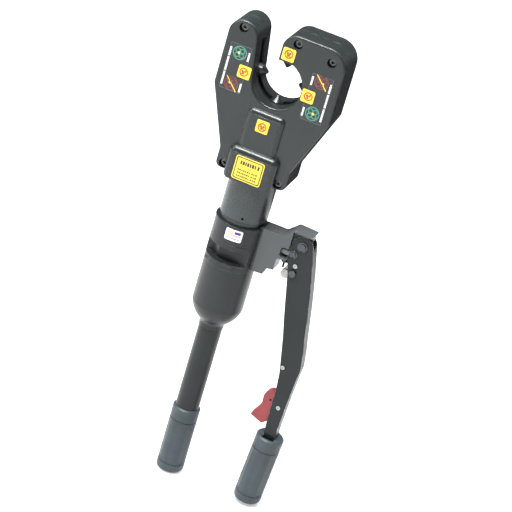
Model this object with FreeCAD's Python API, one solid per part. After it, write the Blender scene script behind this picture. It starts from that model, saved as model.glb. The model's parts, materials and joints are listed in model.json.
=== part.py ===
import FreeCAD, Part
import os
from math import atan2, cos, degrees, hypot, radians, sin, sqrt

# Hydraulic hand-pumped crimping tool: an open, four-indentor crimp head that swivels on a
# pump body, a fixed tube handle below it, and a hinged pump handle beside it.
# Millimetres. +Z runs up the tool's axis, the label side of the head faces -Y and the pump
# handle hangs on the +X side. The origin is on the axis, at the bottom of the rear grip; heights
# in this source are counted from a datum GRIP_FOOT below it, and the last lines take that off.

Vec = FreeCAD.Vector
X, Y, Z = Vec(1, 0, 0), Vec(0, 1, 0), Vec(0, 0, 1)

# ---- fits ----
GAP = 0.05            # radial running clearance, and the gap between parts that only touch
SNUG = 0.02           # radial clearance of seals and pressed parts
SLOT_PLAY = 0.3       # room around a part that sweeps a slot
COIL_STEPS = 12       # straight lengths in one turn of a spring

# ---- rear handle ----
TUBE_R, TUBE_BORE_R = 15.88, 12.7
GRIP_FOOT = 5.3
TUBE_BOTTOM = GRIP_FOOT + 5.0
GRIP_R, GRIP_LENGTH = 18.5, 98.7
GRIP_ROUND = 6.0
GRIP_GROOVE = 0.6
GRIP_LOW_BAND, GRIP_HIGH_BAND = 13.7, 19.0    # distance of the grooves from either end
GRIP_FACETS, GRIP_FACET_DEPTH = 6, 0.7

# ---- reservoir barrel ----
BARREL_R, BARREL_WALL = 33.8, 4.7
BARREL_BOTTOM, BARREL_TOP = 229.0, 324.0
SHOULDER_TOP = 262.0                      # where the shoulder meets the straight barrel
TUBE_TOP = 250.0

# ---- pump body: collar and block in one forging ----
COLLAR_R, COLLAR_TOP = 34.0, 386.0
COLLAR_RIM = 0.5
THREAD_R, THREAD_LENGTH = 29.0, 18.0
OIL_WELL_R, OIL_WELL_TOP = 24.0, 330.0
FLAT_Y, FLAT_BOTTOM, FLAT_TOP = 20.7, 332.6, 353.0     # wrench flats, 41.4 across
STEP_X, STEP_END_X, STEP_Y = -13.4, -23.0, 9.5         # second, deeper flat beside the front one
BLOCK_HALF = 13.0
BLOCK_RIGHT, BLOCK_FOOT = 72.0, 358.3
EAR_HALF = 5.0
EAR_LUG_R = 8.2
EAR_BOTTOM, EAR_TOP = 380.2, 400.0
EAR_RIGHT = 97.5
CAP_TOP = 403.0

# ---- swivel ----
SPIGOT_R, SPIGOT_BOTTOM = 23.5, 358.0
WELL_FLOOR = 355.0
SEAL_BOTTOM, SEAL_TOP = 362.0, 365.0
NECK_R, NECK_BOTTOM, NECK_TOP = 31.2, 392.0, 449.5
NECK_THREAD_R, CYLINDER_TOP = 27.0, 480.0
WIRE_Z, WIRE_R = 375.0, 1.2

# ---- ram ----
BORE_R, BORE_FLOOR = 21.0, 398.0
PISTON_BOTTOM, PISTON_TOP = 402.0, 420.0
ROD_R, ROD_TOP = 12.0, 488.0
GLAND_HEIGHT = 16.0
STROKE = 18.0
WEDGE_RATIO = 2.0 / 3.0                   # side indentor travel per ram travel

# ---- crimp head ----
JAW_Z, JAW_R = 583.0, 32.0                # opening between the four indentors
HEAD_HALF = 27.5                          # half thickness over the covers
COVER_WALL = 3.0
EDGE_ROUND = 2.6
HEAD_X = 77.7                             # half width over the covers
HEAD_FOOT, HEAD_WAIST, HEAD_SHOULDER = 451.4, 478.0, 556.0
HEAD_TOP = 651.0
ARM_X, ARM_Z, ARM_R = -58.2, 626.0, 19.5  # rounded end of the free arm
HOOK_X, HOOK_R = -7.0, 19.5               # left edge of the hook and its corner
HOOK_CORNER_R = 26.0
GROOVE_HALF = 8.0                         # gap between the covers inside the opening
SCREW_POINTS = [(-59.2, 635.9), (12.0, 640.5), (58.7, 633.8), (-36.9, 458.6), (36.9, 458.6)]
SCREW_R, SCREW_HEAD_R = 2.4, 4.5
COUNTERBORE_R, SCREW_SEAT = 6.0, 18.0
UPPER_BOSS_R, LOWER_BOSS_R, LOWER_BOSS_START = 7.5, 5.8, 16.0
LOW_PAD = (33.0, 447.0, 491.5, 38.5, 8.0)  # half width, bottom, top, y and edge round of the lower pad
HIGH_PAD = (25.5, 480.0, 544.4, 32.5, 7.0)
PANEL_RISE = 0.4                          # crisp flat panel standing on each pad
PARTING_GROOVE = 0.5                      # half width and depth of the line between the covers

# ---- steel frame and indentors ----
FRAME_HALF, FRAME_WEB_HALF = 20.0, 5.3
FRAME_JAW_R = 35.5
FRAME_BOSS_R, FRAME_BOSS_TOP = 34.0, 488.0
INDENTOR_R, INDENTOR_TIP_R, CONE = 8.0, 2.5, 8.0
SIDE_TIP_X, TOP_TIP_Z, BOTTOM_TIP_Z = 20.6, 598.0, 560.0
CAM_PIN_X, CAM_PIN_R = 57.0, 3.0
TOP_SHANK_R = 3.7
YOKE_HALF = 5.0

# ---- pump handle ----
PIVOT_X, PIVOT_Z, PIVOT_R = 87.5, 383.2, 4.5
LINK_X, LINK_Z, LINK_R = 79.2, 369.5, 3.0
CHANNEL_HALF, CHANNEL_WALL = 8.0, 2.0
FLANGE_TOP_R = 14.3
WEB_TOP = 383.0
PLUNGER_Z, PLUNGER_R = 365.3, 4.0
PLUNGER_HEAD_HALF = 4.0
LEVER_X, LEVER_Z = 84.9, 344.0
LEVER_HALF = 2.6
RIVET_X, RIVET_Z = 85.7, 355.0
MID_RIVET_X, MID_RIVET_Z = 109.3, 214.6
TRIGGER_X, TRIGGER_Z = 119.6, 157.3
RIVET_POINTS = [(RIVET_X, RIVET_Z), (MID_RIVET_X, MID_RIVET_Z), (TRIGGER_X, TRIGGER_Z)]
RIVET_R, RIVET_HEAD_R, BOLT_R = 2.0, 2.9, 3.0
HOOK_REACH, HOOK_DROP = 6.7, 0.7          # rod hook beside and below the trigger's pivot
TAIL_REACH = 15.2                         # rod hook beside the release lever's pivot
ROD_WIRE_R, ROD_WIRE_Y = 1.2, 4.4
VALVE_X, STEM_R = 68.5, 1.5
SWING_GRIP_TOP = (119.5, 111.0)
SWING_GRIP_LEAN = 3.6                     # degrees
SWING_GRIP_R, SWING_GRIP_LENGTH = 18.7, 102.7
GRIP_POCKET_HALF = 13.6                   # half depth of the slot in the grip's mouth

VALVE_SEATS = [(44.0, 350.0), (54.0, 350.0), (44.0, 336.0)]
VALVE_BORE_R, BALL_R = 4.0, 3.0


# ---- shape helpers ----
def rod(radius, start, end, x=0.0, y=0.0):
    """Upright cylinder between two heights."""
    return Part.makeCylinder(radius, end - start, Vec(x, y, start), Z)


def ring(inner, outer, start, end):
    return rod(outer, start, end).cut(rod(inner, start - 1, end + 1))


def cross_rod(radius, x, z, start, end):
    """Cylinder along Y between two y values."""
    return Part.makeCylinder(radius, end - start, Vec(x, start, z), Y)


def side_rod(radius, start, end, z, y=0.0):
    """Cylinder along X between two x values."""
    return Part.makeCylinder(radius, end - start, Vec(start, y, z), X)


def block(x0, x1, y0, y1, z0, z1):
    return Part.makeBox(x1 - x0, y1 - y0, z1 - z0, Vec(x0, y0, z0))


def outline(points):
    """Closed face in the XZ plane. A nested pair is an arc through its first point."""
    edges = []
    here = points[0]
    for step in points[1:] + [points[0]]:
        start = Vec(here[0], 0, here[1])
        if isinstance(step[0], tuple):
            middle, here = step
            arc = Part.Arc(start, Vec(middle[0], 0, middle[1]), Vec(here[0], 0, here[1]))
            edges.append(arc.toShape())
        else:
            if hypot(step[0] - here[0], step[1] - here[1]) > 1e-6:
                edges.append(Part.makeLine(start, Vec(step[0], 0, step[1])))
            here = step
    return Part.Face(Part.Wire(edges))


def plate(face, y0, y1):
    """An outline's face made thick between two y values."""
    moved = face.copy()
    moved.translate(Vec(0, y0, 0))
    return moved.extrude(Vec(0, y1 - y0, 0))


def prism(points, y0, y1):
    return plate(outline(points), y0, y1)


def turned(points):
    """Solid of revolution about the tool's axis from (radius, z) points."""
    return outline(points).revolve(Vec(0, 0, 0), Z, 360)


def on_circle(centre, radius, angle):
    return (centre[0] + radius * cos(radians(angle)), centre[1] + radius * sin(radians(angle)))


def arc_to(centre, radius, start, end):
    """Outline step along a circle from one angle to another, in degrees."""
    return (on_circle(centre, radius, (start + end) / 2), on_circle(centre, radius, end))


def mirrored_x(shape):
    return shape.mirror(Vec(0, 0, 0), X)


def mirrored_y(shape):
    return shape.mirror(Vec(0, 0, 0), Y)


def fused(first, *others):
    return first.fuse(list(others)).removeSplitter()


def coil(mean_radius, wire_radius, start, end, turns):
    """Round-wire compression spring along Z, as mitred straight lengths round each turn."""
    low, high = start + wire_radius, end - wire_radius
    steps = COIL_STEPS * turns
    points = []
    for i in range(steps + 1):
        x, y = on_circle((0, 0), mean_radius, 360 * turns * i / steps)
        points.append(Vec(x, y, low + (high - low) * i / steps))
    profile = Part.Wire(Part.makeCircle(wire_radius, points[0], points[1] - points[0]))
    mitred = 1
    return Part.makePolygon(points).makePipeShell([profile], True, False, mitred)


def along_y(shape, x, z):
    """Turn a shape built on the Z axis so that it lies along +Y at (x, z)."""
    turned_shape = shape.copy()
    turned_shape.rotate(Vec(0, 0, 0), X, -90)
    turned_shape.translate(Vec(x, 0, z))
    return turned_shape


# ---- rear handle ----
def grip_body(radius, length):
    """Moulded sleeve grip standing on z = 0, with end bands and flat finger facets."""
    low, high = GRIP_LOW_BAND, length - GRIP_HIGH_BAND
    body = turned([
        (0, 0), (radius - GRIP_ROUND, 0),
        arc_to((radius - GRIP_ROUND, GRIP_ROUND), GRIP_ROUND, -90, 0),
        (radius, length - 2), (radius - 2, length), (0, length),
    ])
    for z in (low, high):
        body = body.cut(ring(radius - GRIP_GROOVE, radius + 1, z - 0.6, z + 0.6))
    for i in range(GRIP_FACETS):
        facet = block(radius - GRIP_FACET_DEPTH, radius + 5, -9, 9, low + 2, high - 2)
        facet.rotate(Vec(0, 0, 0), Z, 360.0 / GRIP_FACETS * (i + 0.5))
        body = body.cut(facet)
    return body


def rear_grip():
    grip = grip_body(GRIP_R, GRIP_LENGTH)
    grip.translate(Vec(0, 0, GRIP_FOOT))
    return grip.cut(rod(TUBE_R + SNUG, TUBE_BOTTOM, GRIP_FOOT + GRIP_LENGTH + 1))


def handle_tube():
    return ring(TUBE_BORE_R, TUBE_R, TUBE_BOTTOM + GAP, TUBE_TOP)


def tube_end_plug():
    cap_depth = 7.0
    return rod(TUBE_BORE_R - SNUG, TUBE_BOTTOM + GAP, TUBE_BOTTOM + cap_depth)


# ---- reservoir ----
def shoulder(radius, drop):
    """Bottle-shaped outer line from the straight barrel down to the tube."""
    return [
        (radius, SHOULDER_TOP - drop),
        ((radius - 4.6, SHOULDER_TOP - 12 - drop), (radius - 12.5, SHOULDER_TOP - 22 - drop)),
        ((TUBE_R + 1.7, SHOULDER_TOP - 27 - drop), (TUBE_R + 0.8, BARREL_BOTTOM)),
    ]


def reservoir_barrel():
    body = turned([(0, BARREL_TOP), (BARREL_R, BARREL_TOP)] + shoulder(BARREL_R, 0) + [(0, BARREL_BOTTOM)])
    inner = BARREL_R - BARREL_WALL
    cavity = turned([
        (0, BARREL_TOP + 1), (THREAD_R + GAP, BARREL_TOP + 1), (THREAD_R + GAP, BARREL_TOP - THREAD_LENGTH),
        (inner, BARREL_TOP - THREAD_LENGTH - 1), (inner, SHOULDER_TOP + 2),
        (TUBE_R + GAP, TUBE_TOP), (0, TUBE_TOP),
    ])
    return body.cut(cavity).cut(rod(TUBE_R + SNUG, BARREL_BOTTOM - 1, TUBE_TOP + 1))


def reservoir_bladder():
    """Soft rubber oil bag, open into the pump body at its top."""
    wall = 1.5
    belly, mouth = 27.0, OIL_WELL_R - GAP
    outer = turned([
        (0, 266), (belly - 7, 266), (belly, 273), (belly, 300), (mouth, 305), (mouth, 328), (0, 328),
    ])
    inner = turned([
        (0, 266 + wall), (belly - 7.6, 266 + wall), (belly - wall, 273.6), (belly - wall, 299.5),
        (mouth - wall, 304.5), (mouth - wall, 329), (0, 329),
    ])
    return outer.cut(inner)


def bladder_clamp():
    clamp_r = OIL_WELL_R - GAP - 1.5 - SNUG
    return ring(clamp_r - 2, clamp_r, 320, 327)


def fill_plug():
    """Oil filling plug under the reservoir, reached when the tube handle is taken off."""
    plug = fused(rod(TUBE_BORE_R - GAP, 240, 248), rod(8, 248, 251))
    socket = Part.makePolygon([Vec(*on_circle((0, 0), 4, 60 * i), 239) for i in range(7)])
    return plug.cut(Part.Face(socket).extrude(Vec(0, 0, 6)))


# ---- pump body ----
def block_profile():
    return [
        (26, 328), (48, 329.3), (51.7, 339.4), (60.2, 340.7), (60.2, 355.8), (62.7, BLOCK_FOOT),
        (BLOCK_RIGHT, BLOCK_FOOT), (BLOCK_RIGHT, EAR_TOP), (73.7, EAR_TOP + 1), (63.5, 395), (59.6, 390.8),
        ((58, 390.1), (55, 389.9)), (26, 389.4),
    ]


def ear():
    """Lug that carries the handle pivot, thinner than the block, under a full-width cap."""
    left = EAR_RIGHT - 26
    pivot = (PIVOT_X, PIVOT_Z)
    meet = degrees(atan2(EAR_BOTTOM - PIVOT_Z, -sqrt(EAR_LUG_R ** 2 - (PIVOT_Z - EAR_BOTTOM) ** 2))) + 360
    web = prism([
        (left, EAR_BOTTOM), on_circle(pivot, EAR_LUG_R, meet), arc_to(pivot, EAR_LUG_R, meet, 360),
        (PIVOT_X + EAR_LUG_R, 392), (EAR_RIGHT, 394), (EAR_RIGHT, EAR_TOP + 1), (left, EAR_TOP + 1),
    ], -EAR_HALF, EAR_HALF)
    cap_foot = EAR_TOP - 0.2
    cap = prism([
        (left - 6, 396.5), (left, cap_foot), (EAR_RIGHT, cap_foot), (EAR_RIGHT, CAP_TOP - 1),
        (73.7, CAP_TOP), (71, 402.2),
    ], -BLOCK_HALF, BLOCK_HALF)
    return fused(web, cap)


def wrench_flats():
    """Stuff cut off the collar: a stepped flat in front and a plain one behind."""
    height = FLAT_TOP - FLAT_BOTTOM
    front = Part.makePolygon([Vec(x, y, FLAT_BOTTOM) for x, y in (
        (40, -FLAT_Y), (STEP_X, -FLAT_Y), (STEP_END_X, -STEP_Y), (-40, -STEP_Y), (-40, -40), (40, -40),
        (40, -FLAT_Y))])
    rear = block(-COLLAR_R, 27.5, FLAT_Y, 40, FLAT_BOTTOM, FLAT_TOP)
    return Part.Face(front).extrude(Vec(0, 0, height)), rear


def plunger_window():
    """Pocket in the front of the block, with round inner corners, that shows the plunger."""
    left, low, high, corner = 62.0, 361.0, 375.3, 4.5
    return prism([
        (BLOCK_RIGHT + 1, low), (left + corner, low), arc_to((left + corner, low + corner), corner, 270, 180),
        (left, high - corner), arc_to((left + corner, high - corner), corner, 180, 90),
        (BLOCK_RIGHT + 1, high),
    ], -BLOCK_HALF - 1, 0)


def pump_body():
    collar = rod(COLLAR_R, BARREL_TOP + GAP, COLLAR_TOP)
    rim = rod(COLLAR_R + COLLAR_RIM, COLLAR_TOP - 3, COLLAR_TOP)
    thread = rod(THREAD_R, BARREL_TOP - THREAD_LENGTH, BARREL_TOP + 1)
    arm = prism(block_profile(), -BLOCK_HALF, BLOCK_HALF)
    body = fused(collar, rim, thread, arm, ear())
    for z in (330.6, 360.0):
        groove = ring(COLLAR_R - 0.4, COLLAR_R + 1, z - 0.4, z + 0.4)
        body = body.cut(groove.cut(block(26, 60, -40, 40, 300, 400)))
    for flat in wrench_flats():
        body = body.cut(flat)
    body = body.cut(rod(SPIGOT_R + GAP, WELL_FLOOR, CAP_TOP + 5))
    body = body.cut(rod(NECK_R + 1, COLLAR_TOP, CAP_TOP + 5))
    body = body.cut(rod(OIL_WELL_R, 300, OIL_WELL_TOP))
    body = body.cut(Part.makeTorus(SPIGOT_R, WIRE_R + GAP, Vec(0, 0, WIRE_Z), Z))
    body = body.cut(cross_rod(PIVOT_R + GAP, PIVOT_X, PIVOT_Z, -20, 20))
    return cut_oilways(body.cut(plunger_window()))


def cut_oilways(body):
    body = body.cut(side_rod(PLUNGER_R + GAP, 36, BLOCK_RIGHT + 1, PLUNGER_Z))
    body = body.cut(side_rod(6.5, 56.5, 59.5, PLUNGER_Z))
    body = body.cut(rod(STEM_R + GAP, BLOCK_FOOT - 1, 359.9, VALVE_X))
    body = body.cut(rod(3.0, BLOCK_FOOT - 1, BLOCK_FOOT + 1.2, VALVE_X))
    for x, z in VALVE_SEATS:
        body = body.cut(cross_rod(VALVE_BORE_R, x, z, -6, 20))
    for x in (44.0, 54.0):
        body = body.cut(rod(1.2, 348, 362, x))
    body = body.cut(rod(1.2, OIL_WELL_TOP - 1, 337, 18))
    for x0, x1, z in ((18, 44, WELL_FLOOR + 1.6), (17, 54, 336)):
        body = body.cut(side_rod(1.2, x0, x1, z))
    return body


def plunger_seal():
    return side_rod(6.5 - SNUG, 56.5 + SNUG, 59.5 - SNUG, PLUNGER_Z).cut(
        side_rod(PLUNGER_R + SNUG, 50, 62, PLUNGER_Z))


def valve_balls():
    return [Part.makeSphere(BALL_R, Vec(x, -2.5, z)) for x, z in VALVE_SEATS]


def valve_springs():
    spring = coil(2.6, 0.4, 0.8, 7.3, 5)
    return [along_y(spring, x, z) for x, z in VALVE_SEATS]


def valve_plugs():
    """Socket-headed screw plugs that close the three valve bores on the back of the block."""
    plugs = []
    for x, z in VALVE_SEATS:
        plug = cross_rod(VALVE_BORE_R - SNUG, x, z, 7.6, BLOCK_HALF + 0.4)
        plugs.append(plug.cut(cross_rod(1.8, x, z, 10.5, 20)))
    return plugs


def release_valve_nipple():
    """Grooved screw-in guide of the release valve, under the block."""
    nipple = fused(rod(4.4, 352, 353.6, VALVE_X), rod(3.6, 353, 357, VALVE_X),
                   rod(4.4, 354.6, 356, VALVE_X), rod(4.4, 357, BLOCK_FOOT - GAP, VALVE_X),
                   rod(3.0 - SNUG, 357, BLOCK_FOOT + 1.15, VALVE_X))
    return nipple.cut(rod(STEM_R + GAP, 345, 360, VALVE_X))


def release_valve_stem():
    return rod(STEM_R, 343.7, 357.5, VALVE_X)


# ---- swivel and hydraulic cylinder ----
def swivel_wire():
    return Part.makeTorus(SPIGOT_R, WIRE_R, Vec(0, 0, WIRE_Z), Z)


def swivel_seal():
    return ring(21 + SNUG, SPIGOT_R + GAP - SNUG, SEAL_BOTTOM + SNUG, SEAL_TOP - SNUG)


def neck_cylinder():
    body = fused(
        rod(SPIGOT_R, SPIGOT_BOTTOM, COLLAR_TOP + 1),
        rod(NECK_R - 1.7, COLLAR_TOP + 0.2, NECK_BOTTOM),
        turned([(0, NECK_BOTTOM), (NECK_R - 1, NECK_BOTTOM), (NECK_R, NECK_BOTTOM + 1),
                (NECK_R, NECK_TOP), (0, NECK_TOP)]),
        rod(NECK_THREAD_R, NECK_TOP - 1, CYLINDER_TOP),
    )
    body = body.cut(ring(21, SPIGOT_R + 1, SEAL_BOTTOM, SEAL_TOP))
    body = body.cut(Part.makeTorus(SPIGOT_R, WIRE_R + GAP, Vec(0, 0, WIRE_Z), Z))
    body = body.cut(rod(BORE_R, BORE_FLOOR, CYLINDER_TOP + 1))
    body = body.cut(rod(3, SPIGOT_BOTTOM - 1, BORE_FLOOR + 1))
    return body.cut(Part.makeCylinder(1.6, 6, Vec(7.3, -NECK_R - 1, 398.3), Y))


def ram_piston():
    body = fused(rod(BORE_R - GAP, PISTON_BOTTOM, PISTON_TOP), rod(ROD_R, PISTON_TOP - 1, ROD_TOP - GAP))
    body = body.cut(ring(17, BORE_R + 1, 407, 412))
    return body.cut(rod(4 + SNUG, ROD_TOP - 19, ROD_TOP + 1))


def piston_seal():
    return ring(17 + SNUG, BORE_R - SNUG, 407 + SNUG, 412 - SNUG)


def rod_gland():
    start = CYLINDER_TOP - GLAND_HEIGHT
    return ring(ROD_R + GAP, BORE_R - SNUG, start, CYLINDER_TOP)


def ram_return_spring():
    return coil(16.0, 1.5, PISTON_TOP + GAP, CYLINDER_TOP - GLAND_HEIGHT - GAP, 4)


# ---- head outlines ----
def arm_slant():
    """Angle of the free arm's inner edge, tangent to its round end and to the opening."""
    dx, dz = 0 - ARM_X, JAW_Z - ARM_Z
    reach = (ARM_R + JAW_R) / hypot(dx, dz)
    return degrees(atan2(sqrt(1 - reach * reach), reach)) + degrees(atan2(dz, dx))


def head_face():
    """Front view of the covers: a C whose mouth opens between the free arm and the hook."""
    slant = arm_slant()
    jaw = (0.0, JAW_Z)
    arm = (ARM_X, ARM_Z)
    hook = (HOOK_X + HOOK_R, HEAD_TOP - HOOK_R)
    corner = (HEAD_X - HOOK_CORNER_R, HEAD_TOP - HOOK_CORNER_R)
    mouth_angle = 69.0
    mouth = on_circle(jaw, JAW_R, mouth_angle)
    waist = 47.8
    lug_r = 7.5
    lug = (waist - lug_r, HEAD_FOOT + lug_r)
    return outline([
        (-HEAD_X, HEAD_SHOULDER), (-HEAD_X, ARM_Z), arc_to(arm, ARM_R, 180, slant),
        on_circle(jaw, JAW_R, 180 + slant), arc_to(jaw, JAW_R, 180 + slant, 360 + mouth_angle),
        (HOOK_X, mouth[1]), (HOOK_X, hook[1]), arc_to(hook, HOOK_R, 180, 90),
        (corner[0], HEAD_TOP), arc_to(corner, HOOK_CORNER_R, 90, 0), (HEAD_X, HEAD_SHOULDER),
        (waist, HEAD_WAIST), (waist, lug[1]), arc_to(lug, lug_r, 0, -90),
        (-lug[0], HEAD_FOOT), arc_to((-lug[0], lug[1]), lug_r, -90, -180), (-waist, HEAD_WAIST),
    ])


def pad(sizes, inset):
    """Raised pad on the head's face, from mid-plane out, with broadly rounded front edges."""
    half, bottom, top, depth, soft = sizes
    corner = soft + 0.5
    half, top, depth = half - inset, top - inset, depth - PANEL_RISE - inset
    left, right = (-half + corner, top - corner), (half - corner, top - corner)
    body = prism([
        (-half, bottom + 5), (-half, left[1]), arc_to(left, corner, 180, 90), (right[0], top),
        arc_to(right, corner, 90, 0), (half, bottom + 5), (half - 5, bottom), (-half + 5, bottom),
    ], -depth, 0)
    front = [edge for edge in body.Edges
             if all(abs(v.Point.y + depth) < 1e-6 and v.Point.z > bottom + 4 for v in edge.Vertexes)]
    return body.makeFillet(soft, front)


def pad_panel(sizes):
    """Crisp flat panel that carries the label."""
    half, bottom, top, depth, soft = sizes
    return block(soft - half, half - soft, -depth, PANEL_RISE - depth + 1, bottom + 1, top - soft)


def edge_line(face, start, end, depth):
    """Shallow groove round the head's edge between two y values."""
    return plate(face, start, end).cut(plate(face.makeOffset2D(-depth), start - 1, end + 1))


def rounded_slab(face, depth, radius):
    """Slab from the mid-plane to -depth with its front edge rounded."""
    slab = plate(face, -depth, 0)
    front = [edge for edge in slab.Edges if all(abs(v.Point.y + depth) < 1e-6 for v in edge.Vertexes)]
    return slab.makeFillet(radius, front)


def groove_cutter():
    """Room between the covers' inner walls, where the steel frame shows."""
    slant = arm_slant()
    foot = on_circle((0.0, JAW_Z), JAW_R - 2, 180 + slant)
    root = on_circle((0.0, JAW_Z), JAW_R + COVER_WALL + 0.5, 180 + slant)
    reach = 45.0
    rise = Vec(-sin(radians(slant)) * reach, 0, cos(radians(slant)) * reach)
    strip = prism([foot, root, (root[0] + rise.x, root[1] + rise.z), (foot[0] + rise.x, foot[1] + rise.z)],
                  -GROOVE_HALF, GROOVE_HALF)
    disc = cross_rod(JAW_R + COVER_WALL + 0.5, 0, JAW_Z, -GROOVE_HALF, GROOVE_HALF)
    nose = block(-12, 14, -GROOVE_HALF, GROOVE_HALF, 600, 622)
    return fused(disc, strip, nose)


def cover_shell():
    """One moulded half of the head cover, on the -Y side, without its screw seats."""
    face = head_face()
    inner = face.makeOffset2D(-COVER_WALL)
    shell = rounded_slab(face, HEAD_HALF, EDGE_ROUND)
    shell = fused(shell, pad(LOW_PAD, 0), pad(HIGH_PAD, 0), pad_panel(LOW_PAD), pad_panel(HIGH_PAD))
    shell = shell.cut(plate(inner, -HEAD_HALF + COVER_WALL, 1))
    shell = shell.cut(pad(HIGH_PAD, COVER_WALL))
    shell = shell.cut(rod(FRAME_BOSS_R + 0.6, NECK_TOP, FRAME_BOSS_TOP + 1))
    shell = shell.cut(rod(NECK_R + 0.4, 430, NECK_TOP + 1))
    for x, z in SCREW_POINTS:
        lower = z < HEAD_WAIST
        radius = LOWER_BOSS_R if lower else UPPER_BOSS_R
        end = -LOWER_BOSS_START if lower else 0
        shell = shell.fuse(cross_rod(radius, x, z, -HEAD_HALF + COVER_WALL - 1, end))
    shell = shell.cut(groove_cutter())
    shell = shell.cut(edge_line(face, -PARTING_GROOVE, 1, PARTING_GROOVE))
    return shell.cut(block(-90, 90, -GAP, 60, 420, 680))


def front_cover():
    shell = cover_shell()
    for x, z in SCREW_POINTS:
        shell = shell.cut(cross_rod(COUNTERBORE_R, x, z, -HEAD_HALF - 1, -SCREW_SEAT))
        shell = shell.cut(cross_rod(SCREW_R + 0.3, x, z, -HEAD_HALF, 1))
    return shell.removeSplitter()


def rear_cover():
    shell = mirrored_y(cover_shell())
    for x, z in SCREW_POINTS:
        shell = shell.cut(cross_rod(SCREW_R + SNUG, x, z, -1, 22))
    return shell.removeSplitter()


def cover_screws():
    screws = []
    for x, z in SCREW_POINTS:
        head = cross_rod(SCREW_HEAD_R, x, z, -SCREW_SEAT - 5, -SCREW_SEAT - GAP)
        hexagon = [on_circle((x, z), 2.4, 60 * i) for i in range(6)]
        head = head.cut(prism(hexagon, -SCREW_SEAT - 6, -SCREW_SEAT - 2))
        screws.append(fused(head, cross_rod(SCREW_R, x, z, -SCREW_SEAT - 1, 21)))
    return screws


# ---- steel frame ----
def frame_face():
    slant = arm_slant()
    jaw = (0.0, JAW_Z)
    root = on_circle(jaw, FRAME_JAW_R, 180 + slant)
    arm_top = 626.0
    climb = (arm_top - root[1]) / cos(radians(slant))
    nose_angle = 96.1
    nose = on_circle(jaw, FRAME_JAW_R, nose_angle)
    return outline([
        (-73, 557.5), (-73, 620), (-68, arm_top), (root[0] - climb * sin(radians(slant)), arm_top),
        root, arc_to(jaw, FRAME_JAW_R, 180 + slant, 360 + nose_angle),
        (nose[0], 631.5), (21.5, 631.5), (24, 646), (46, 646), (49, 626), (65, 624), (73, 616),
        (73, 557.5), (42, 476), (-42, 476),
    ])


def yoke_points(grow, lift):
    """Half outline of the cam yoke, or of the slot it sweeps when grown and lifted."""
    slope = 1 / WEDGE_RATIO
    top = 592.0
    inner = 37.8
    return [
        (0, 488 - grow), (40.5 + grow, 488 - grow), (67.5 + grow, 558.5 - grow), (67.5 + grow, top + lift),
        (inner - grow + (top - 565) / slope, top + lift), (inner - grow, 565 + lift),
        (inner - grow, 536 + lift), (22 - grow, 506 + lift), (0, 506 + lift),
    ]


def both_halves(points):
    return points + [(-x, z) for x, z in reversed(points) if x > 0]


def c_frame():
    body = fused(
        plate(frame_face(), -FRAME_HALF, FRAME_HALF),
        rod(FRAME_BOSS_R, NECK_TOP + GAP, FRAME_BOSS_TOP),
        prism([(-8.3, 610), (-8.3, 615), (-3, 622), (9, 622), (9, 608.5), (-6.8, 608.5)], -7.5, 7.5),
    )
    swept = both_halves(yoke_points(SLOT_PLAY, STROKE + SLOT_PLAY))
    body = body.cut(prism(swept, -FRAME_WEB_HALF, FRAME_WEB_HALF))
    body = body.cut(rod(NECK_THREAD_R + SNUG, NECK_TOP - 1, CYLINDER_TOP + GAP))
    body = body.cut(rod(ROD_R + 1, CYLINDER_TOP - 1, ROD_TOP + STROKE + 1))
    body = body.cut(rod(INDENTOR_R + GAP, 500, 560))
    body = body.cut(side_rod(INDENTOR_R + GAP, -65, -20, JAW_Z))
    body = body.cut(side_rod(INDENTOR_R + GAP, 20, 65, JAW_Z))
    return body.cut(rod(TOP_SHANK_R + SNUG, 600, 625))


# ---- indentors and cam yoke ----
def indentor_solid(length):
    """Blunt-nosed round punch standing on z = 0 with its tip at z = length."""
    tip = 1.2
    return turned([
        (0, 0), (INDENTOR_R, 0), (INDENTOR_R, length - CONE), (INDENTOR_TIP_R, length - tip),
        (INDENTOR_TIP_R - 1.2, length), (0, length),
    ])


def indentor_bottom():
    base = 506.0 + GAP
    head = indentor_solid(BOTTOM_TIP_Z - base)
    head.translate(Vec(0, 0, base))
    return fused(head, rod(4, ROD_TOP - 18, base + 1))


def indentor_top():
    seat = 608.5 - GAP
    head = indentor_solid(seat - TOP_TIP_Z)
    head.rotate(Vec(0, 0, 0), X, 180)
    head.translate(Vec(0, 0, seat))
    return fused(head, rod(TOP_SHANK_R, seat - 1, 624))


def indentor_right():
    """Sliding punch, forked at its outer end around the cam yoke."""
    rear, fork = 64.0, 43.8
    punch = indentor_solid(rear - SIDE_TIP_X)
    punch.rotate(Vec(0, 0, 0), Y, -90)
    punch.translate(Vec(rear, 0, JAW_Z))
    punch = punch.cut(block(fork, rear + 1, -YOKE_HALF - 0.2, YOKE_HALF + 0.2, JAW_Z - 10, JAW_Z + 10))
    return punch.cut(cross_rod(CAM_PIN_R + SNUG, CAM_PIN_X, JAW_Z, -10, 10))


def indentor_left():
    return mirrored_x(indentor_right())


def cam_pin_right():
    return cross_rod(CAM_PIN_R, CAM_PIN_X, JAW_Z, -7.2, 7.2)


def cam_pin_left():
    return mirrored_x(cam_pin_right())


def cam_slot():
    """Slanted slot that turns the ram's rise into the side indentors' travel."""
    slot_r = CAM_PIN_R + GAP + 0.01
    low = (CAM_PIN_X - STROKE * WEDGE_RATIO, JAW_Z - STROKE)
    high = (CAM_PIN_X, JAW_Z)
    tilt = degrees(atan2(STROKE, STROKE * WEDGE_RATIO))
    return prism([
        on_circle(low, slot_r, tilt + 90), arc_to(low, slot_r, tilt + 90, tilt + 270),
        on_circle(high, slot_r, tilt - 90), arc_to(high, slot_r, tilt - 90, tilt + 90),
    ], -20, 20)


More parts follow.
